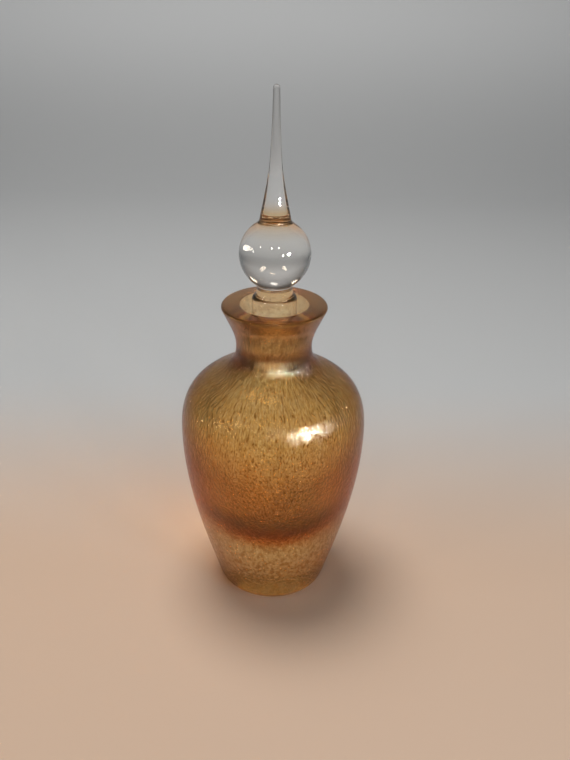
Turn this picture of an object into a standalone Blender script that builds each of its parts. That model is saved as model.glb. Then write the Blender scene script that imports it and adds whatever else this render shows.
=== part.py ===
"""Scent bottle: a thick-based cased glass bottle, its ball-and-spire glass stopper and the dauber.

Metres, +Z up. The origin is the centre of the flat foot that the bottle stands on, and every
piece is turned about the Z axis. An outline is a list of (radius, height) points in millimetres.
"""

import math

import bmesh
import bpy

MM = 0.001

# Bottle, in millimetres
BOTTLE_HEIGHT = 100.0
FOOT_RADIUS = 15.2
HEEL_RADIUS = 18.6
HEEL_HEIGHT = 3.6
BELLY_RADIUS = 29.5
BELLY_HEIGHT = 58.5
NECK_RADIUS = 11.75
NECK_HEIGHT = 86.6
LIP_RADIUS = 16.2
LIP_EDGE = 1.2
MOUTH_RADIUS = 10.45  # inner edge of the flat polished lip

# Ground bore and the bubble below it
BORE_RADIUS = 7.0
BORE_TOP = 94.6
BORE_BOTTOM = 80.0
BORE_TAPER = 0.03  # radius lost per unit of depth
BASE_THICKNESS = 19.9  # solid clear glass under the bubble
BOWL_RADIUS = 20.8
BOWL_TOP = 41.0
BUBBLE_RADIUS = 23.4
LINING_THICKNESS = 1.2
LINING_BOTTOM = 2.8  # thickness of the amber under the bubble, where the gather was heaviest
FUSED_GAP = 0.3  # kept between pieces that are fused or cemented in the real bottle
SEAT_CLEARANCE = 0.2  # radial, between the ground plug and the ground bore

# Stopper
PLUG_BOTTOM = 79.0
COLLAR_HEIGHT = 103.1  # top of the plug's collar, just above the lip
COLLAR_EDGE = 0.7
STEM_RADIUS = 5.5
BALL_RADIUS = 10.7
BALL_CENTRE = 115.8
SPIRE_FOOT_RADIUS = 5.0
SPIRE_WAIST_RADIUS = 2.0
SPIRE_WAIST_HEIGHT = 140.5
SPIRE_TIP_RADIUS = 0.95
SPIRE_TIP_HEIGHT = 163.5

# Dauber
DAUBER_RADIUS = 1.7
DAUBER_HOLE_DEPTH = 6.0
DAUBER_TIP_HEIGHT = 38.0
DAUBER_BEAD_RADIUS = 2.4

BOTTLE_SEGMENTS = 48  # the bore and the plug share this, so that their facets stay parallel
ROD_SEGMENTS = 24


def curve(start, pull_start, pull_end, end, steps):
    """Points along a cubic curve, leaving out the first, so that stretches can be chained."""
    points = []
    for i in range(1, steps + 1):
        t = i / steps
        s = 1 - t
        weights = (s**3, 3 * s * s * t, 3 * s * t * t, t**3)
        corners = (start, pull_start, pull_end, end)
        points.append(tuple(sum(w * c[k] for w, c in zip(weights, corners)) for k in (0, 1)))
    return points


def arc(height, size, first, last, steps):
    """Points on a circle centred on the axis at that height, between two angles in degrees."""
    angles = [math.radians(first + (last - first) * i / steps) for i in range(steps + 1)]
    return [(size * math.cos(a), height + size * math.sin(a)) for a in angles]


def glass(name, colour, roughness):
    """A see-through glass of one colour."""
    material = bpy.data.materials.new(name)
    material.use_nodes = True
    shader = material.node_tree.nodes["Principled BSDF"]
    shader.inputs["Base Color"].default_value = (*colour, 1)
    shader.inputs["Roughness"].default_value = roughness
    shader.inputs["Metallic"].default_value = 0.0
    shader.inputs["Transmission Weight"].default_value = 1.0
    shader.inputs["IOR"].default_value = 1.5
    return material


def turned(name, outline, segments, material):
    """A solid of revolution from an outline that starts and ends on the axis."""
    mesh = bmesh.new()
    points = [mesh.verts.new((radius * MM, 0, height * MM)) for radius, height in outline]
    edges = [mesh.edges.new(pair) for pair in zip(points, points[1:])]
    bmesh.ops.spin(
        mesh, geom=points + edges, axis=(0, 0, 1), angle=2 * math.pi, steps=segments, use_merge=True
    )
    bmesh.ops.remove_doubles(mesh, verts=mesh.verts, dist=0.001 * MM)
    bmesh.ops.recalc_face_normals(mesh, faces=mesh.faces)
    data = bpy.data.meshes.new(name)
    mesh.to_mesh(data)
    mesh.free()
    data.shade_smooth()
    data.set_sharp_from_angle(angle=math.radians(40))
    data.materials.append(material)
    piece = bpy.data.objects.new(name, data)
    bpy.context.scene.collection.objects.link(piece)
    return piece


def bore_radius(height):
    """Radius of the ground bore, which narrows a little downwards."""
    return BORE_RADIUS - (BORE_TOP - height) * BORE_TAPER


def ball_flat(radius):
    """Half the height of the ball between flats of that radius, where its neighbours are fused on."""
    return math.sqrt(BALL_RADIUS**2 - radius**2)


def outside_wall():
    """The bottle's outside, from the middle of its foot up to the outer edge of its lip."""
    heel = curve(
        (FOOT_RADIUS, 0), (FOOT_RADIUS + 2.2, 0), (HEEL_RADIUS - 0.6, 1.4), (HEEL_RADIUS, HEEL_HEIGHT), 4
    )
    wall = curve(heel[-1], (22.4, 17), (BELLY_RADIUS, 37), (BELLY_RADIUS, BELLY_HEIGHT), 8)
    shoulder = curve(wall[-1], (BELLY_RADIUS, 69), (26.0, 73.5), (18.6, 77.4), 7)
    throat = curve(shoulder[-1], (14.0, 79.8), (NECK_RADIUS, 81.5), (NECK_RADIUS, NECK_HEIGHT), 5)
    lip_foot = BOTTLE_HEIGHT - LIP_EDGE
    lip = curve(throat[-1], (NECK_RADIUS, 91), (14.5, 95.2), (LIP_RADIUS, lip_foot), 5)
    edge = [(LIP_RADIUS, BOTTLE_HEIGHT - LIP_EDGE / 3), (LIP_RADIUS - LIP_EDGE / 3, BOTTLE_HEIGHT)]
    return [(0, 0), (FOOT_RADIUS, 0)] + heel + wall + shoulder + throat + lip + edge


def bubble(inset, lift):
    """The bubble's wall from the axis up to the bore, set in at its side and lifted at its bottom."""
    bottom = BASE_THICKNESS + lift
    bowl_radius = BOWL_RADIUS - inset
    belly = BUBBLE_RADIUS - inset
    neck = bore_radius(BORE_BOTTOM) + LINING_THICKNESS + FUSED_GAP - inset
    drop = inset / 2
    bowl = curve((0, bottom), (10, bottom), (19.4 - inset, 30 + lift / 2), (bowl_radius, BOWL_TOP), 7)
    side = curve(bowl[-1], (21.7 - inset, 46.5), (belly, 52), (belly, BELLY_HEIGHT), 4)
    dome = curve(side[-1], (belly, 65), (20.5 - inset, 70.5 - drop), (14.6 - inset, 73.4 - drop), 5)
    throat = curve(dome[-1], (11 - inset, 75.4 - drop), (neck, 76.6), (neck, BORE_BOTTOM), 4)
    return [(0, bottom)] + bowl + side + dome + throat


def bottle_casing(name, material):
    """The clear outer gather: the thick foot, the wall, the neck and the flat lip with its funnel mouth."""
    hollow_radius = bore_radius(BORE_TOP) + LINING_THICKNESS + FUSED_GAP
    mouth = [(hollow_radius, BORE_TOP - 1.2), (hollow_radius, BORE_TOP + 1.2), (MOUTH_RADIUS, BOTTLE_HEIGHT)]
    hollow = bubble(0, 0) + mouth
    return turned(name, outside_wall() + hollow[::-1], BOTTLE_SEGMENTS, material)


def amber_lining(name, material):
    """The amber inner gather: a bubble with an open neck, whose bore is ground to seat the plug."""
    bore_top = bore_radius(BORE_TOP)
    outer_neck = [(bore_top + LINING_THICKNESS, BORE_TOP - 1.2), (bore_top + LINING_THICKNESS, BORE_TOP)]
    outer = bubble(FUSED_GAP, FUSED_GAP) + outer_neck
    inner = bubble(FUSED_GAP + LINING_THICKNESS, FUSED_GAP + LINING_BOTTOM) + [(bore_top, BORE_TOP)]
    return turned(name, outer + inner[::-1], BOTTLE_SEGMENTS, material)


def ground_plug(name, material):
    """The stopper's lower end: a ground taper, a collar above the lip and the stem up to the ball."""
    hole = DAUBER_RADIUS + FUSED_GAP
    hole_top = PLUG_BOTTOM + DAUBER_HOLE_DEPTH
    taper_foot = bore_radius(PLUG_BOTTOM) - SEAT_CLEARANCE
    collar = BORE_RADIUS - SEAT_CLEARANCE
    stem_top = BALL_CENTRE - ball_flat(STEM_RADIUS) - FUSED_GAP
    stem_foot = COLLAR_HEIGHT + 0.6
    waist = STEM_RADIUS - 0.3
    outline = [
        (0, hole_top),
        (hole, hole_top),
        (hole, PLUG_BOTTOM),
        (taper_foot - 0.5, PLUG_BOTTOM),
        (taper_foot, PLUG_BOTTOM + 0.5),
        (collar, BORE_TOP),
        (collar, COLLAR_HEIGHT - COLLAR_EDGE),
        (collar - COLLAR_EDGE, COLLAR_HEIGHT),
        (STEM_RADIUS, stem_foot),
    ]
    stem = curve(outline[-1], (waist, stem_foot + 0.8), (waist, stem_top - 0.8), (STEM_RADIUS, stem_top), 4)
    return turned(name, outline + stem + [(0, stem_top)], BOTTLE_SEGMENTS, material)


def ball_knop(name, material):
    """The solid ball, with a small flat below for the stem and one above for the spire."""
    below = -math.degrees(math.acos(STEM_RADIUS / BALL_RADIUS))
    above = math.degrees(math.acos(SPIRE_FOOT_RADIUS / BALL_RADIUS))
    side = arc(BALL_CENTRE, BALL_RADIUS, below, above, 14)
    outline = [(0, side[0][1])] + side + [(0, side[-1][1])]
    return turned(name, outline, BOTTLE_SEGMENTS, material)


def spire(name, material):
    """The drawn spire: a flared foot on the ball, a waist and a long taper to a rounded tip."""
    foot = BALL_CENTRE + ball_flat(SPIRE_FOOT_RADIUS) + FUSED_GAP
    waist = (SPIRE_WAIST_RADIUS, SPIRE_WAIST_HEIGHT)
    tip_centre = SPIRE_TIP_HEIGHT - SPIRE_TIP_RADIUS
    foot_edge = (SPIRE_FOOT_RADIUS, foot)
    tip_edge = (SPIRE_TIP_RADIUS, tip_centre)
    above_foot = (SPIRE_FOOT_RADIUS - 1, foot + 4)
    below_waist = (SPIRE_WAIST_RADIUS + 0.6, SPIRE_WAIST_HEIGHT - 5)
    above_waist = (SPIRE_WAIST_RADIUS - 0.5, SPIRE_WAIST_HEIGHT + 4)
    below_tip = (SPIRE_TIP_RADIUS + 0.2, tip_centre - 8.5)
    flare = curve(foot_edge, above_foot, below_waist, waist, 8)
    taper = curve(waist, above_waist, below_tip, tip_edge, 7)
    tip = arc(tip_centre, SPIRE_TIP_RADIUS, 0, 90, 4)
    outline = [(0, foot), foot_edge] + flare + taper + tip[1:-1] + [(0, SPIRE_TIP_HEIGHT)]
    return turned(name, outline, ROD_SEGMENTS, material)


def dauber_rod(name, material):
    """The rod cemented into the plug's underside, with a small bead at its end to carry a drop."""
    top = PLUG_BOTTOM + DAUBER_HOLE_DEPTH - FUSED_GAP
    bead_top = math.degrees(math.acos(DAUBER_RADIUS / DAUBER_BEAD_RADIUS))
    bead = arc(DAUBER_TIP_HEIGHT + DAUBER_BEAD_RADIUS, DAUBER_BEAD_RADIUS, -90, bead_top, 8)
    outline = [(0, DAUBER_TIP_HEIGHT)] + bead[1:] + [(DAUBER_RADIUS, top), (0, top)]
    return turned(name, outline, ROD_SEGMENTS, material)


# Each body's pieces, with the colour and the roughness of their glass
BODIES = {
    "bottle": {
        "bottle_casing": (bottle_casing, (0.78, 0.56, 0.27), 0.08),
        "amber_lining": (amber_lining, (0.60, 0.28, 0.05), 0.03),
    },
    "stopper": {
        "ground_plug": (ground_plug, (0.93, 0.91, 0.87), 0.30),
        "ball_knop": (ball_knop, (0.97, 0.97, 0.96), 0.0),
        "spire": (spire, (0.97, 0.96, 0.95), 0.0),
        "dauber_rod": (dauber_rod, (0.96, 0.95, 0.93), 0.02),
    },
}


def main():
    for thing in list(bpy.data.objects):
        bpy.data.objects.remove(thing, do_unlink=True)
    for body, pieces in BODIES.items():
        holder = bpy.data.objects.new(body, None)  # on the turning axis, which the stopper lifts along
        bpy.context.scene.collection.objects.link(holder)
        for name, (build, colour, roughness) in pieces.items():
            build(name, glass(name + "_glass", colour, roughness)).parent = holder


main()
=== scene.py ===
import math

import bpy
import numpy as np
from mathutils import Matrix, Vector


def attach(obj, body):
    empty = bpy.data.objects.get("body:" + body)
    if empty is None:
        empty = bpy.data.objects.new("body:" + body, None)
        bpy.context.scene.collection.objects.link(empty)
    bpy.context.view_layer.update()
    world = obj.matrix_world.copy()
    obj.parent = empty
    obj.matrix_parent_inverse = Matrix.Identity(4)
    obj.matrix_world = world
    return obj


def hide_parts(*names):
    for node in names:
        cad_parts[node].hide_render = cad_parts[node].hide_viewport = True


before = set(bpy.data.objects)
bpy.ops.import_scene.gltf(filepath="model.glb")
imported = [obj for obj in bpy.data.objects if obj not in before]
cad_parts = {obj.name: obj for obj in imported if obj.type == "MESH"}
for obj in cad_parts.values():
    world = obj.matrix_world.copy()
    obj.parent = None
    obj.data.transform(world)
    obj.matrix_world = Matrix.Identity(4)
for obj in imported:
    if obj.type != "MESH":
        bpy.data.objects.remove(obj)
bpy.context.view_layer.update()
scene = bpy.context.scene
mm = 0.001
print("frame loaded:", ", ".join(sorted(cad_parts)))


def bend(start, pullStart, pullEnd, end, steps):  # a cubic stretch, without its first point
    points = []
    for i in range(1, steps + 1):
        t = i / steps
        s = 1 - t
        weights = (s**3, 3 * s * s * t, 3 * s * t * t, t**3)
        corners = (start, pullStart, pullEnd, end)
        points.append(tuple(sum(w * c[k] for w, c in zip(weights, corners)) for k in (0, 1)))
    return points


def sweep(radius, height, size, first, last, steps):  # a round stretch between two angles in degrees
    angles = [math.radians(first + (last - first) * i / steps) for i in range(steps + 1)]
    return [(radius + size * math.cos(a), height + size * math.sin(a)) for a in angles]


def straight(start, end, steps):  # a straight stretch, without its first point
    return [tuple(a + (b - a) * i / steps for a, b in zip(start, end)) for i in range(1, steps + 1)]


def evenOut(stretch, spacing):  # the same stretch with its points a set distance apart
    points = np.array(stretch)
    along = np.concatenate([[0], np.cumsum(np.hypot(*np.diff(points, axis=0).T))])
    places = np.linspace(0, along[-1], max(2, round(along[-1] / spacing) + 1))
    return [tuple(p) for p in np.stack([np.interp(places, along, points[:, k]) for k in (0, 1)], 1)]


def turnPiece(name, outline, sides, masks):
    # outline runs from the axis at the bottom round to the axis again; masks hold one value for each point
    outline = np.array(outline) * mm
    rings = len(outline) - 2
    angles = 2 * math.pi * np.arange(sides) / sides
    ringPoints = np.empty((rings, sides, 3))
    ringPoints[:, :, 0] = outline[1:-1, 0, None] * np.cos(angles)
    ringPoints[:, :, 1] = outline[1:-1, 0, None] * np.sin(angles)
    ringPoints[:, :, 2] = outline[1:-1, 1, None]
    poles = np.array([[0, 0, outline[0, 1]], [0, 0, outline[-1, 1]]])
    places = np.concatenate([ringPoints.reshape(-1, 3), poles])
    here = np.arange(sides)
    after = (here + 1) % sides
    faces = []
    for ring in range(rings - 1):
        low, high = ring * sides, (ring + 1) * sides
        faces += np.stack([low + here, low + after, high + after, high + here], 1).tolist()
    lowPole, highPole = rings * sides, rings * sides + 1
    top = (rings - 1) * sides
    faces += np.stack([np.full(sides, lowPole), after, here], 1).tolist()
    faces += np.stack([top + here, top + after, np.full(sides, highPole)], 1).tolist()
    mesh = bpy.data.meshes.new(name)
    mesh.from_pydata(places.tolist(), [], faces)
    mesh.update()
    for maskName, values in masks.items():
        mask = mesh.attributes.new(maskName, "FLOAT", "POINT")
        values = np.array(values, np.float32)
        mask.data.foreach_set("value", np.concatenate([np.repeat(values[1:-1], sides), values[[0, -1]]]))
    mesh.shade_smooth()
    piece = bpy.data.objects.new(name, mesh)
    scene.collection.objects.link(piece)
    return piece


def link(tree, start, end):
    tree.links.new(start, end)


def addNode(tree, kind, inputs=(), **settings):  # inputs: (socket name or number, value or output socket)
    node = tree.nodes.new(kind)
    for key, value in settings.items():
        setattr(node, key, value)
    for key, value in inputs:
        if isinstance(value, bpy.types.NodeSocket):
            link(tree, value, node.inputs[key])
        else:
            node.inputs[key].default_value = value
    return node


def doMath(tree, operation, *values):
    return addNode(tree, "ShaderNodeMath", list(enumerate(values)), operation=operation).outputs[0]


def doVector(tree, operation, *values):
    return addNode(tree, "ShaderNodeVectorMath", list(enumerate(values)), operation=operation).outputs[0]


def remap(tree, value, fromLow, fromHigh, toLow, toHigh, smooth=True):
    kind = "SMOOTHSTEP" if smooth else "LINEAR"
    ranges = (("From Min", fromLow), ("From Max", fromHigh), ("To Min", toLow), ("To Max", toHigh))
    return addNode(
        tree, "ShaderNodeMapRange", (("Value", value), *ranges), interpolation_type=kind
    ).outputs["Result"]


crackleWeb = {
    "aroundRadius": 0.0260,  # cells keep their size on a wall of this radius and narrow with it above
    "cell": 0.0011,
    "fineCell": 0.0006,
    "creaseWidth": 0.22,  # of a cell
    "hairWidth": 0.20,
    "squeeze": 0.95,  # height of the web's drum against the wall's: at the foot, and how fast it falls
    "squeezeFall": 0.12,
    "lean": 1.6,  # turn in radians for each metre of height
    "wander": 0.00040,
    "wanderScale": 420.0,
    "fleckScale": 2500.0,
    "fleckRange": (0.55, 0.62),
    "fleckLength": 0.6,  # less than 1 draws the flecks upward
    "markScale": 850.0,
    "markRange": (0.50, 0.58),
    "markTurn": 0.05,  # below this height the marks are round, and above it they are long streaks
    "markTop": 0.10,
    "markHeights": (0.035, 0.010),
    "footMarks": (0.018, 0.042, 1.0, 0.25),  # two heights, and how strong the marks are at each
    "neckMarks": (0.074, 0.086, 0.0, 0.75),
}


def scaleVector(tree, vector, amount):
    inputs = ((0, vector), ("Scale", amount))
    return addNode(tree, "ShaderNodeVectorMath", inputs, operation="SCALE").outputs[0]


def findEdges(tree, place, size):
    inputs = (("Vector", place), ("Scale", 1 / size))
    return addNode(tree, "ShaderNodeTexVoronoi", inputs, feature="DISTANCE_TO_EDGE").outputs["Distance"]


def makeNoise(tree, place, scale, detail):
    return addNode(tree, "ShaderNodeTexNoise", (("Vector", place), ("Scale", scale), ("Detail", detail)))


def layWeb(tree, place):
    # the web of a quenched gather: cells on a drum of one radius, drawn long where the glass was pulled up
    # it works on a material's tree and on a geometry tree alike, so the relief and the colour agree
    s = crackleWeb
    split = addNode(tree, "ShaderNodeSeparateXYZ", ((0, place),))
    height = split.outputs["Z"]
    flat = addNode(tree, "ShaderNodeCombineXYZ", (("X", split.outputs["X"]), ("Y", split.outputs["Y"])))
    spoke = doVector(tree, "NORMALIZE", flat.outputs[0])
    drum = scaleVector(tree, spoke, s["aroundRadius"])
    turned = addNode(
        tree,
        "ShaderNodeVectorRotate",
        (("Vector", drum), ("Angle", doMath(tree, "MULTIPLY", height, s["lean"]))),
        rotation_type="Z_AXIS",
    )
    fall = doMath(tree, "EXPONENT", doMath(tree, "DIVIDE", height, -s["squeezeFall"]))
    tall = doMath(tree, "MULTIPLY", doMath(tree, "SUBTRACT", 1.0, fall), s["squeeze"] * s["squeezeFall"])
    up = addNode(tree, "ShaderNodeCombineXYZ", (("Z", tall),))
    spread = doVector(tree, "ADD", turned.outputs[0], up.outputs[0])
    wobble = makeNoise(tree, spread, s["wanderScale"], 2.0)
    centred = doVector(tree, "SUBTRACT", wobble.outputs["Color"], (0.5, 0.5, 0.5))
    web = doVector(tree, "ADD", spread, scaleVector(tree, centred, s["wander"] * 2))
    crease = remap(tree, findEdges(tree, web, s["cell"]), 0.0, s["creaseWidth"], 1.0, 0.0)
    return split, web, crease


def layFlecks(tree, split, web):
    # fine flecks all over, with round marks in the foot and streaks in the neck
    s = crackleWeb
    drawn = doVector(tree, "MULTIPLY", web, (1, 1, s["fleckLength"]))
    speck = makeNoise(tree, drawn, s["fleckScale"], 2.0)
    fleck = remap(tree, speck.outputs[0], *s["fleckRange"], 0.0, 1.0)
    height = split.outputs["Z"]
    belowRise, aboveRise = s["markHeights"]
    below = remap(tree, height, 0.0, s["markTurn"], 0.0, belowRise, smooth=False)
    above = remap(tree, height, s["markTurn"], s["markTop"], 0.0, aboveRise, smooth=False)
    grown = addNode(
        tree,
        "ShaderNodeCombineXYZ",
        (("X", split.outputs["X"]), ("Y", split.outputs["Y"]), ("Z", doMath(tree, "ADD", below, above))),
    )
    marks = makeNoise(tree, grown.outputs[0], s["markScale"], 2.0)
    mark = remap(tree, marks.outputs[0], *s["markRange"], 0.0, 1.0)
    strength = doMath(
        tree, "ADD", remap(tree, height, *s["footMarks"]), remap(tree, height, *s["neckMarks"])
    )
    return doMath(tree, "MAXIMUM", fleck, doMath(tree, "MULTIPLY", mark, strength))


def startGroup(name, outputs):  # a group with a Strength input, and the tree's own place on the piece
    group = bpy.data.node_groups.new(name, "ShaderNodeTree")
    group.interface.new_socket("Strength", in_out="INPUT", socket_type="NodeSocketFloat")
    for output in outputs:
        group.interface.new_socket(output, in_out="OUTPUT", socket_type="NodeSocketFloat")
    strength = group.nodes.new("NodeGroupInput").outputs["Strength"]
    outside = group.nodes.new("NodeGroupOutput")
    place = group.nodes.new("ShaderNodeTexCoord").outputs["Object"]
    return group, strength, outside, place


def makeCrackleGroup():
    s = crackleWeb
    group, strength, outside, place = startGroup("crackleWeb", ("Crease", "Hair", "Tone", "Fleck", "Relief"))
    split, web, crease = layWeb(group, place)
    hair = remap(group, findEdges(group, web, s["fineCell"]), 0.0, s["hairWidth"], 1.0, 0.0)
    fleck = layFlecks(group, split, web)
    cells = addNode(group, "ShaderNodeTexVoronoi", (("Vector", web), ("Scale", 1 / s["cell"])), feature="F1")
    tone = addNode(group, "ShaderNodeSeparateXYZ", ((0, cells.outputs["Color"]),))
    finer = doMath(group, "ADD", doMath(group, "MULTIPLY", hair, 0.5), doMath(group, "MULTIPLY", fleck, 0.6))
    relief = doMath(group, "ADD", crease, finer)
    for name, value in (("Crease", crease), ("Hair", hair), ("Fleck", fleck)):
        link(group, doMath(group, "MULTIPLY", value, strength), outside.inputs[name])
    link(group, tone.outputs["X"], outside.inputs["Tone"])
    dented = doMath(group, "MULTIPLY", strength, -1)
    link(group, doMath(group, "MULTIPLY", relief, dented), outside.inputs["Relief"])
    return group


groundGrain = {
    "grainScale": 1600.0,
    "ringHeight": 6,  # the grain is squeezed into rings, as a turning grinder leaves it
    "patchScale": 160.0,
    "haze": (0.75, 1.0),
}


def makeGrindGroup():
    s = groundGrain
    group, strength, outside, place = startGroup("groundGrain", ("Grain", "Haze"))
    rings = addNode(group, "ShaderNodeMapping", (("Vector", place), ("Scale", (1, 1, s["ringHeight"]))))
    grain = makeNoise(group, rings.outputs[0], s["grainScale"], 3.0)
    patches = makeNoise(group, place, s["patchScale"], 2.0)
    haze = remap(group, patches.outputs[0], 0.3, 0.7, *s["haze"])
    link(group, doMath(group, "MULTIPLY", grain.outputs[0], strength), outside.inputs["Grain"])
    link(group, doMath(group, "MULTIPLY", haze, strength), outside.inputs["Haze"])
    return group


crackleGroup = makeCrackleGroup()
grindGroup = makeGrindGroup()


def newMaterial(name):
    material = bpy.data.materials.new(name)
    material.use_nodes = True
    tree = material.node_tree
    shader = tree.nodes["Principled BSDF"]
    return material, tree, shader, tree.nodes["Material Output"]


def readMask(tree, name):
    return addNode(tree, "ShaderNodeAttribute", attribute_name=name).outputs["Fac"]


def blendColour(tree, amount, first, second, blendType="MIX"):
    node = tree.nodes.new("ShaderNodeMix")
    node.data_type = "RGBA"
    node.blend_type = blendType
    for socket, value in ((node.inputs[0], amount), (node.inputs[6], first), (node.inputs[7], second)):
        if isinstance(value, bpy.types.NodeSocket):
            link(tree, value, socket)
        else:
            socket.default_value = value
    return node.outputs[2]


def absorb(tree, output, colour, density):
    depth = addNode(tree, "ShaderNodeVolumeAbsorption", (("Color", (*colour, 1)), ("Density", density)))
    link(tree, depth.outputs[0], output.inputs["Volume"])


crackleGlass = {
    "cellColour": (1.0, 0.98, 0.93, 1),
    "toneColour": (0.98, 0.94, 0.80, 1),
    "creaseColour": (0.88, 0.70, 0.42, 1),
    "fleckColour": (0.46, 0.25, 0.10, 1),
    "edgeColour": (0.62, 0.07, 0.01, 1),
    "lipColour": (1.0, 0.73, 0.47, 1),
    "sheenTint": (1.0, 0.93, 0.80, 1),
    "groundColour": (1.0, 0.76, 0.44, 1),
    "ior": 1.5,
    "depthColour": (0.96, 0.87, 0.12),
    "depthDensity": 13.0,
    "bumpDepth": 0.000048,
    "bareColour": (1.0, 0.99, 0.97, 1),
    "hairStrength": 0.45,
    "polish": 0.02,  # roughness of the bare skin, and what the creases and the ground parts add to it
    "creaseRough": 0.05,
    "groundRough": 0.13,
    "groundBump": 0.25,
    "clarity": 0.98,
}


def makeCrackleGlass():
    s = crackleGlass
    material, tree, shader, output = newMaterial("crackleGlass")
    crackleMask, groundMask = readMask(tree, "crackle"), readMask(tree, "ground")
    web = addNode(tree, "ShaderNodeGroup", node_tree=crackleGroup)
    link(tree, crackleMask, web.inputs["Strength"])
    grind = addNode(tree, "ShaderNodeGroup", node_tree=grindGroup)
    link(tree, groundMask, grind.inputs["Strength"])
    cell = blendColour(tree, web.outputs["Tone"], s["cellColour"], s["toneColour"])
    lined = blendColour(tree, web.outputs["Crease"], cell, s["creaseColour"])
    hair = doMath(tree, "MULTIPLY", web.outputs["Hair"], s["hairStrength"])
    haired = blendColour(tree, hair, lined, s["creaseColour"])
    flecked = blendColour(tree, web.outputs["Fleck"], haired, s["fleckColour"])
    skin = blendColour(tree, crackleMask, s["bareColour"], flecked)
    worn = blendColour(tree, groundMask, skin, s["groundColour"])
    aslant = addNode(tree, "ShaderNodeLayerWeight", (("Blend", 0.5),)).outputs["Facing"]
    deep = doMath(tree, "MULTIPLY", aslant, readMask(tree, "deep"))  # deeper where it is looked along
    edged = blendColour(tree, deep, worn, s["edgeColour"], "MULTIPLY")
    lipped = blendColour(tree, readMask(tree, "lip"), edged, s["lipColour"], "MULTIPLY")
    link(tree, lipped, shader.inputs["Base Color"])
    shader.inputs["Specular Tint"].default_value = s["sheenTint"]
    creased = doMath(tree, "MULTIPLY", web.outputs["Crease"], s["creaseRough"])
    hazed = doMath(tree, "MULTIPLY", grind.outputs["Haze"], s["groundRough"])
    rough = doMath(tree, "ADD", doMath(tree, "ADD", creased, s["polish"]), hazed)
    link(tree, rough, shader.inputs["Roughness"])
    grain = doMath(tree, "MULTIPLY", grind.outputs["Grain"], s["groundBump"])
    height = doMath(tree, "ADD", web.outputs["Relief"], grain)
    bump = addNode(tree, "ShaderNodeBump", (("Height", height), ("Distance", s["bumpDepth"])))
    link(tree, bump.outputs[0], shader.inputs["Normal"])
    shader.inputs["Metallic"].default_value = 0.0
    shader.inputs["Transmission Weight"].default_value = s["clarity"]
    shader.inputs["IOR"].default_value = s["ior"]
    absorb(tree, output, s["depthColour"], s["depthDensity"])
    return material


amberGlass = {
    "depthColour": (0.925, 0.72, 0.04),
    "depthDensity": 300.0,
    "streakColour": (0.99, 0.95, 0.88, 1),
    "streakScale": 220.0,
    "streakLength": 0.25,  # less than 1 draws the streaks upward
}


def makeAmberGlass():
    s = amberGlass
    material, tree, shader, output = newMaterial("amberGlass")
    place = tree.nodes.new("ShaderNodeTexCoord").outputs["Object"]
    drawn = addNode(tree, "ShaderNodeMapping", (("Vector", place), ("Scale", (1, 1, s["streakLength"]))))
    cords = makeNoise(tree, drawn.outputs[0], s["streakScale"], 3.0)
    streak = remap(tree, cords.outputs[0], 0.35, 0.65, 0.0, 1.0)
    link(tree, blendColour(tree, streak, (1, 1, 1, 1), s["streakColour"]), shader.inputs["Base Color"])
    shader.inputs["Roughness"].default_value = 0.0
    shader.inputs["Metallic"].default_value = 0.0
    shader.inputs["Transmission Weight"].default_value = 1.0
    shader.inputs["IOR"].default_value = 1.0  # it lies inside the casing's glass, so its faces bend nothing
    absorb(tree, output, s["depthColour"], s["depthDensity"])
    return material


clearGlass = {
    "colour": (0.995, 0.99, 0.985, 1),
    "groundColour": (1.0, 0.98, 0.93, 1),
    # this colour is painted refraction: the amber bottle, seen up through the ball, painted onto the spire's
    # foot
    "paintedRefractionColour": (1.0, 0.70, 0.36, 1),
    "ior": 1.5,
    "depthColour": (0.975, 0.92, 0.84),
    "depthDensity": 20.0,
    "groundRough": 0.12,
    "groundBump": 0.6,
    "cordScale": 140.0,
    "cordLength": 0.3,
    "bumpDepth": 0.00006,
}


def makeClearGlass():
    s = clearGlass
    material, tree, shader, output = newMaterial("clearGlass")
    groundMask = readMask(tree, "ground")
    grind = addNode(tree, "ShaderNodeGroup", node_tree=grindGroup)
    link(tree, groundMask, grind.inputs["Strength"])
    place = tree.nodes.new("ShaderNodeTexCoord").outputs["Object"]
    worn = blendColour(tree, groundMask, s["colour"], s["groundColour"])
    # painted refraction: the spire's foot is tinted amber where the amber bottle shows through the ball
    refractionPainted = blendColour(tree, readMask(tree, "paintedRefraction"), worn, s["paintedRefractionColour"])
    link(tree, refractionPainted, shader.inputs["Base Color"])
    rough = doMath(tree, "MULTIPLY", grind.outputs["Haze"], s["groundRough"])
    link(tree, rough, shader.inputs["Roughness"])
    drawn = addNode(tree, "ShaderNodeMapping", (("Vector", place), ("Scale", (1, 1, s["cordLength"]))))
    cords = makeNoise(tree, drawn.outputs[0], s["cordScale"], 1.0)
    grain = doMath(tree, "MULTIPLY", grind.outputs["Grain"], s["groundBump"])
    height = doMath(tree, "ADD", cords.outputs[0], grain)
    bump = addNode(tree, "ShaderNodeBump", (("Height", height), ("Distance", s["bumpDepth"])))
    link(tree, bump.outputs[0], shader.inputs["Normal"])
    shader.inputs["Metallic"].default_value = 0.0
    shader.inputs["Transmission Weight"].default_value = 1.0
    shader.inputs["IOR"].default_value = s["ior"]
    absorb(tree, output, s["depthColour"], s["depthDensity"])
    return material


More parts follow.
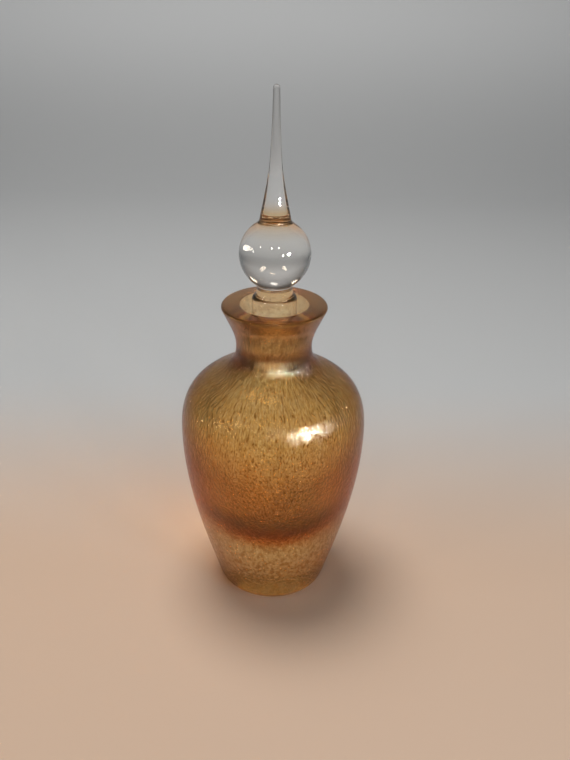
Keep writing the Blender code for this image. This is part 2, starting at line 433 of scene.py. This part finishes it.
bottleShape = {
    "footRadius": 15.2,
    "heelRadius": 18.6,
    "heelHeight": 3.6,
    "bellyRadius": 29.5,
    "bellyHeight": 58.5,
    "neckRadius": 11.75,
    "neckHeight": 86.6,
    "lipRadius": 16.2,
    "lipHeight": 100.0,
    "lipEdge": 0.8,
    "mouthEdge": 0.25,
    "pontilRadius": 10.5,  # the hollow ground into the foot
    "pontilDepth": 0.35,
    "mouthRadius": 10.45,
    "boreRadius": 7.0,
    "boreTop": 94.6,
    "boreBottom": 80.0,
    "boreTaper": 0.03,
    "bubbleBottom": 23.0,
    "bowlRadius": 19.3,
    "bowlTop": 41.0,
    "bubbleRadius": 21.9,
    "sides": 480,
    "outsideSpacing": 0.72,
    "insideSpacing": 3.0,
    "reliefDepth": 0.000022,
    "waveScale": 55.0,  # the slow unevenness of a hand-blown wall, against the creases' depth
    "waveDepth": 1.6,
}


def boreRadius(height):
    s = bottleShape
    return s["boreRadius"] - (s["boreTop"] - height) * s["boreTaper"]


def bubbleOutline(outset, drop, steps):  # the cavity's wall, set out at its side and let down at its bottom
    s = bottleShape
    bottom = s["bubbleBottom"] - drop
    bowl, belly = s["bowlRadius"] + outset, s["bubbleRadius"] + outset
    neck = boreRadius(s["boreBottom"]) + outset
    start = (bowl, s["bowlTop"])
    points = [(0, bottom)] + bend((0, bottom), (10, bottom), (17.9 + outset, 31.5 - drop / 2), start, steps)
    points += bend(start, (20.2 + outset, 46.5), (belly, 52), (belly, s["bellyHeight"]), steps)
    rise = outset / 2
    shoulder = (13.1 + outset, 72.7 + rise)
    points += bend(points[-1], (belly, 65), (19 + outset, 69.8 + rise), shoulder, steps)
    points += bend(shoulder, (9.6 + outset, 74.7 + rise), (neck, 76.4), (neck, s["boreBottom"]), steps)
    return points


def outsideStretches():
    s = bottleShape
    foot, belly, neck = s["footRadius"], s["bellyRadius"], s["neckRadius"]
    heelEnd = (s["heelRadius"], s["heelHeight"])
    lipFoot = (s["lipRadius"], s["lipHeight"] - s["lipEdge"])
    heel = [(foot, 0)] + bend((foot, 0), (foot + 2.2, 0), (s["heelRadius"] - 0.6, 1.4), heelEnd, 40)
    wall = bend(heelEnd, (22.4, 17), (belly, 37), (belly, s["bellyHeight"]), 80)
    shoulder = bend(wall[-1], (belly, 69), (26.0, 73.5), (18.6, 77.4), 60)
    throat = bend(shoulder[-1], (14.0, 79.8), (neck, 81.5), (neck, s["neckHeight"]), 40)
    lip = bend(throat[-1], (neck, 91), (14.5, 95.2), lipFoot, 60)
    return heel + wall + shoulder + throat + lip


bottleMasks = {
    "neckCalm": 0.05,  # how much weaker the web is in the neck and in the lip
    "lipCalm": 0.4,
    "deepHeights": (24, 36, 52, 70, 78, 85),  # how strongly the edge colour deepens the wall on the way up
    "deepAmounts": (0.8, 1.3, 1.3, 0.2, 0.4, 1.0),
    "boreGrind": 0.3,  # the bore is ground finer than the mouth
    "lipFade": (9, 2),  # below the lip's top, where its own colour starts and where it is full
}


def buildBottle():
    s, m = bottleShape, bottleMasks
    pontil, depth = s["pontilRadius"], s["pontilDepth"]
    foot = evenOut([(0, depth), (pontil, depth), (pontil + 1, 0), (s["footRadius"], 0)], 1.3)
    outside = evenOut(outsideStretches(), s["outsideSpacing"])[1:]
    edge = sweep(s["lipRadius"] - s["lipEdge"], s["lipHeight"] - s["lipEdge"], s["lipEdge"], 0, 90, 4)[1:]
    turn = s["mouthEdge"]
    mouth = s["mouthRadius"] + turn
    top = straight(edge[-1], (mouth, s["lipHeight"]), 3)
    funnel = sweep(mouth, s["lipHeight"] - turn, turn, 90, 180, 3)[1:]
    funnel += straight(funnel[-1], (s["boreRadius"], s["boreTop"]), 7)
    bore = straight(funnel[-1], (boreRadius(s["boreBottom"]), s["boreBottom"]), 8)
    hollow = evenOut(bubbleOutline(0, 0, 30), s["insideSpacing"])[-2::-1]
    outline = foot + outside + edge + top + funnel + bore + hollow
    heights = np.array([z for r, z in outside])
    neckHalf = s["lipHeight"] - s["neckHeight"]
    neck = np.maximum(0, 1 - abs(heights - s["neckHeight"]) / neckHalf)
    lipward = np.maximum(0, (heights - s["neckHeight"]) / neckHalf)
    web = 1 - m["neckCalm"] * neck - m["lipCalm"] * lipward
    deep = np.interp(heights, m["deepHeights"], m["deepAmounts"])
    rest = [0] * (len(outline) - len(foot) - len(outside))
    ground = [0] * (len(outline) - len(funnel) - len(bore) - len(hollow))
    ground += [1] * len(funnel) + [m["boreGrind"]] * len(bore) + [0] * len(hollow)
    lipFrom, lipTo = (s["lipHeight"] - below for below in m["lipFade"])
    fade = np.interp([z for r, z in outline], (lipFrom, lipTo), (0, 1))
    masks = {
        "crackle": [1.0] * len(foot) + web.tolist() + rest,
        "deep": [1.0] * len(foot) + deep.tolist() + rest,
        "ground": ground,
        "lip": [f * (1 - g) for f, g in zip(fade, ground)],
    }
    return turnPiece("bottleGlass", outline, s["sides"], masks)


def addRelief(piece, depth):  # presses the crackle into the wall itself
    tree = bpy.data.node_groups.new("crackleRelief", "GeometryNodeTree")
    tree.interface.new_socket("Geometry", in_out="INPUT", socket_type="NodeSocketGeometry")
    tree.interface.new_socket("Geometry", in_out="OUTPUT", socket_type="NodeSocketGeometry")
    inside, outside = tree.nodes.new("NodeGroupInput"), tree.nodes.new("NodeGroupOutput")
    place = tree.nodes.new("GeometryNodeInputPosition").outputs[0]
    normal = tree.nodes.new("GeometryNodeInputNormal").outputs[0]
    crease = layWeb(tree, place)[2]
    mask = addNode(tree, "GeometryNodeInputNamedAttribute", (("Name", "crackle"),), data_type="FLOAT")
    waves = makeNoise(tree, place, bottleShape["waveScale"], 1.0)
    wave = doMath(tree, "MULTIPLY", doMath(tree, "SUBTRACT", waves.outputs[0], 0.5), bottleShape["waveDepth"])
    dent = doMath(tree, "SUBTRACT", wave, crease)
    amount = doMath(tree, "MULTIPLY", doMath(tree, "MULTIPLY", dent, depth), mask.outputs["Attribute"])
    move = addNode(tree, "GeometryNodeSetPosition", (("Offset", scaleVector(tree, normal, amount)),))
    link(tree, inside.outputs[0], move.inputs["Geometry"])
    link(tree, move.outputs[0], outside.inputs[0])
    modifier = piece.modifiers.new("relief", "NODES")
    modifier.node_group = tree
    shaped = bpy.data.meshes.new_from_object(piece.evaluated_get(bpy.context.evaluated_depsgraph_get()))
    piece.modifiers.clear()
    piece.data = shaped


gatherShape = {
    "skin": 0.05,  # it lies inside the wall's glass, clear of its faces
    "thickness": 1.2,
    "bottomThickness": 2.8,
    "topThickness": 0.6,
    "belowBoreTop": 1.0,
    "sides": 128,
}


def buildGather():
    g = gatherShape
    outer = bubbleOutline(g["thickness"], g["bottomThickness"], 10)
    inner = bubbleOutline(g["skin"], g["skin"], 10)
    top = bottleShape["boreTop"] - g["belowBoreTop"]
    rim = boreRadius(top)
    outer += straight(outer[-1], (rim + g["topThickness"], top), 4)
    inner += straight(inner[-1], (rim + g["skin"], top), 4)
    return turnPiece("amberGather", outer + inner[::-1], g["sides"], {})


stopperShape = {
    "beadRadius": 2.4,
    "rodRadius": 1.7,
    "rodBottom": 38.0,
    "plugBottom": 79.0,
    "seatClearance": 0.2,
    "collarHeight": 103.1,
    "stemRadius": 5.5,
    "ballRadius": 10.7,
    "ballCentre": 115.8,
    "spireFoot": 5.0,
    "flare": 1.1,
    "spireWaist": 2.0,
    "waistHeight": 140.5,
    "tipRadius": 0.95,
    "tipHeight": 163.5,
    "paintedRefractionHeight": 126.5,  # painted refraction: the amber bottle seen up through the ball, painted as colour into the spire's foot
    "paintedRefractionReach": 4.5,
    "sides": 128,
}


def buildStopper():
    s = stopperShape
    taperFoot = boreRadius(s["plugBottom"]) - s["seatClearance"]
    collar = bottleShape["boreRadius"] - s["seatClearance"]
    rise = math.sqrt(s["beadRadius"] ** 2 - s["rodRadius"] ** 2)
    beadEnd = math.degrees(math.asin(rise / s["beadRadius"]))
    beadCentre = s["rodBottom"] + s["beadRadius"]
    rod = sweep(0, beadCentre, s["beadRadius"], -90, beadEnd, 14)
    plugBottom = s["plugBottom"]
    rod += straight(rod[-1], (s["rodRadius"], plugBottom - 1.2), 14)
    rod += bend(rod[-1], (s["rodRadius"], plugBottom - 0.3), (2.2, plugBottom), (3.2, plugBottom), 5)
    under = straight(rod[-1], (taperFoot - 0.5, plugBottom), 3)
    under += sweep(taperFoot - 0.5, plugBottom + 0.5, 0.5, -90, 0, 4)[1:]
    taper = straight(under[-1], (collar, bottleShape["boreTop"]), 14)
    collarTop = s["collarHeight"]
    column = straight(taper[-1], (collar, collarTop - 1.25), 8)
    column += sweep(collar - 1.25, collarTop - 1.25, 1.25, 0, 75, 8)[1:]
    stemFoot = (s["stemRadius"], collarTop + 0.75)
    below = -math.degrees(math.acos((s["stemRadius"] - 0.1) / s["ballRadius"]))
    above = math.degrees(math.acos((s["spireFoot"] + s["flare"]) / s["ballRadius"]))
    ball = sweep(0, s["ballCentre"], s["ballRadius"], below, above, 56)
    column += bend(column[-1], (6.0, collarTop + 0.1), (5.6, collarTop + 0.3), stemFoot, 6)
    column += bend(stemFoot, (5.25, collarTop + 1.6), (5.2, ball[0][1] - 0.5), ball[0], 8)
    spireStart = (s["spireFoot"] - 0.35, ball[-1][1] + 1.5)
    rise = math.radians(above)
    flareEnd = (ball[-1][0] - 0.8 * math.sin(rise), ball[-1][1] + 0.8 * math.cos(rise))
    waist = (s["spireWaist"], s["waistHeight"])
    tipCentre = s["tipHeight"] - s["tipRadius"]
    spire = bend(ball[-1], flareEnd, (spireStart[0] + 0.15, spireStart[1] - 0.55), spireStart, 10)
    spire += bend(spireStart, (4.0, spireStart[1] + 3.8), (2.6, s["waistHeight"] - 5), waist, 26)
    belowTip = (s["tipRadius"] + 0.2, tipCentre - 8.5)
    aboveWaist = (s["spireWaist"] - 0.5, s["waistHeight"] + 4)
    spire += bend(waist, aboveWaist, belowTip, (s["tipRadius"], tipCentre), 26)
    spire += sweep(0, tipCentre, s["tipRadius"], 0, 90, 8)[1:]
    outline = rod + under + taper + column + ball[1:] + spire
    groundFrom = len(rod) + len(under)
    ground = [0] * groundFrom + [1] * len(taper) + [0] * (len(outline) - groundFrom - len(taper))
    # mask for the painted refraction around the spire's foot, where the amber bottle shows through the ball
    paintedRefraction = [max(0, 1 - abs(z - s["paintedRefractionHeight"]) / s["paintedRefractionReach"]) for r, z in outline]
    return turnPiece("stopperGlass", outline, s["sides"], {"ground": ground, "paintedRefraction": paintedRefraction})


crackleMaterial = makeCrackleGlass()
amberMaterial = makeAmberGlass()
clearMaterial = makeClearGlass()
print("materials made")

bottle = buildBottle()
addRelief(bottle, bottleShape["reliefDepth"])
bottle.data.materials.append(crackleMaterial)
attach(bottle, "bottle")
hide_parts("bottle_casing")
print("bottle:", len(bottle.data.polygons), "faces")

gather = buildGather()
gather.data.materials.append(amberMaterial)
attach(gather, "bottle")
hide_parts("amber_lining")
print("gather:", len(gather.data.polygons), "faces")

stopper = buildStopper()
stopper.data.materials.append(clearMaterial)
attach(stopper, "stopper")
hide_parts("ground_plug", "ball_knop", "spire", "dauber_rod")
print("stopper:", len(stopper.data.polygons), "faces")

studio = {
    "floorColour": (0.46, 0.345, 0.268, 1),
    "backColour": (0.405, 0.415, 0.425, 1),
    # the wall colour is painted light: the backdrop's upper part is painted lighter than its foot
    "paintedLightWallColour": (0.62, 0.635, 0.65, 1),
    "reach": 5.0,
    "backWidth": 1.2,
    "backDistance": 0.50,
    "backRadius": 0.35,
    "backHeight": 1.4,
}


def stagePiece(name, points, width, material):  # points: (y, z) along the middle
    places = [(side * width, y, z) for y, z in points for side in (-1, 1)]
    faces = [(2 * i, 2 * i + 1, 2 * i + 3, 2 * i + 2) for i in range(len(points) - 1)]
    mesh = bpy.data.meshes.new(name)
    mesh.from_pydata(places, [], faces)
    mesh.shade_smooth()
    mesh.materials.append(material)
    piece = bpy.data.objects.new(name, mesh)
    scene.collection.objects.link(piece)


def buildStage():  # a pale paper: flat under the bottle, and curving up into a cooler backdrop behind it, painted lighter higher up as painted light
    s = studio
    material, tree, shader, output = newMaterial("stagePaper")
    place = tree.nodes.new("ShaderNodeTexCoord").outputs["Object"]
    split = addNode(tree, "ShaderNodeSeparateXYZ", ((0, place),))
    back = remap(tree, split.outputs["Y"], -0.01, 0.15, 0.0, 1.0)
    # painted light: the backdrop grows lighter with height, making up for its top getting less lamp light
    high = remap(tree, split.outputs["Z"], 0.0, 0.15, 0.0, 1.0)
    grey = blendColour(tree, high, s["backColour"], s["paintedLightWallColour"])
    link(tree, blendColour(tree, back, s["floorColour"], grey), shader.inputs["Base Color"])
    shader.inputs["Roughness"].default_value = 0.9
    bendPoints = sweep(s["backDistance"], s["backRadius"], s["backRadius"], -90, 0, 24)
    wall = bendPoints + [(s["backDistance"] + s["backRadius"], s["backHeight"])]
    stagePiece("backdrop", wall, s["backWidth"], material)
    stagePiece("floor", [(-s["reach"], 0), (s["backDistance"], 0)], s["reach"], material)


def addLamp(name, place, aim, size, power, colour):
    lamp = bpy.data.lights.new(name, "AREA")
    lamp.shape = "DISK"
    lamp.size = size
    lamp.energy = power
    lamp.color = colour
    holder = bpy.data.objects.new(name, lamp)
    holder.location = place
    holder.rotation_euler = (Vector(aim) - Vector(place)).to_track_quat("-Z", "Y").to_euler()
    scene.collection.objects.link(holder)
    return holder


overhead = {
    "place": (-0.10, 0.12, 0.85),
    "size": 0.45,
    "power": 6.0,
    "colour": (1.0, 0.97, 0.93),
}
window = {  # a paned window at the front right, seen only as a highlight
    "place": (0.355, -0.35, 0.215),
    "panes": ((-0.036, 0.026), (0.004, 0.028), (0.042, 0.018), (-0.020, -0.014), (0.020, -0.018)),
    "size": 0.030,
    "power": 1.8,
    "colour": (1.0, 0.99, 0.97),
}
smallLamps = {
    "turnRisePower": ((-74, 10, 0.14), (-53, 30, 0.14), (-12, 34, 0.14), (16, 34, 0.14), (27, 12, 0.3)),
    "reach": 0.5,  # from the ball's height, with the turns in degrees round from the front
    "height": 0.115,
    "size": 0.045,
    "colour": (1.0, 0.96, 0.88),
}
air = {
    "colour": (0.90, 0.95, 1.0, 1),
    "strength": 0.14,
}


def lightStudio():
    body, mouth = (0, 0, 0.07), (0, 0, 0.1)
    s = overhead
    top = addLamp("overheadLamp", s["place"], body, s["size"], s["power"], s["colour"])
    top.visible_glossy = False  # it fills the room without laying a disc on the shoulder
    x, y, z = window["place"]
    away = math.hypot(x, y)
    for i, (across, up) in enumerate(window["panes"]):
        place = (x - across * y / away, y + across * x / away, z + up)
        name = "windowPane" + str(i + 1)
        pane = addLamp(name, place, body, window["size"], window["power"], window["colour"])
        pane.visible_diffuse = False
    s = smallLamps
    for i, (turn, rise, power) in enumerate(s["turnRisePower"]):
        turn, rise = math.radians(turn), math.radians(rise)
        out = s["reach"] * math.cos(rise)
        place = (out * math.sin(turn), -out * math.cos(turn), s["height"] + s["reach"] * math.sin(rise))
        addLamp("smallLamp" + str(i + 1), place, mouth, s["size"], power, s["colour"])
    world = bpy.data.worlds.new("studioAir")
    scene.world = world
    world.use_nodes = True
    background = world.node_tree.nodes["Background"]
    background.inputs["Color"].default_value = air["colour"]
    background.inputs["Strength"].default_value = air["strength"]


view = {
    "place": (0.0036, -0.2396, 0.1968),
    "pitch": 27.11,
    "roll": 1.0,
    "lens": 40.26,
}


def placeCamera():
    data = bpy.data.cameras.new("camera")
    data.lens = view["lens"]
    data.sensor_width = 36.0
    camera = bpy.data.objects.new("camera", data)
    camera.location = view["place"]
    camera.rotation_euler = (math.radians(90 - view["pitch"]), 0, 0)
    camera.rotation_euler.rotate_axis("Z", math.radians(view["roll"]))
    scene.collection.objects.link(camera)
    scene.camera = camera


buildStage()
lightStudio()
placeCamera()
scene.cycles.max_bounces = 32
scene.cycles.transmission_bounces = 32
scene.cycles.transparent_max_bounces = 16
scene.view_settings.view_transform = "Standard"
scene.view_settings.look = "Medium High Contrast"
print("studio ready")
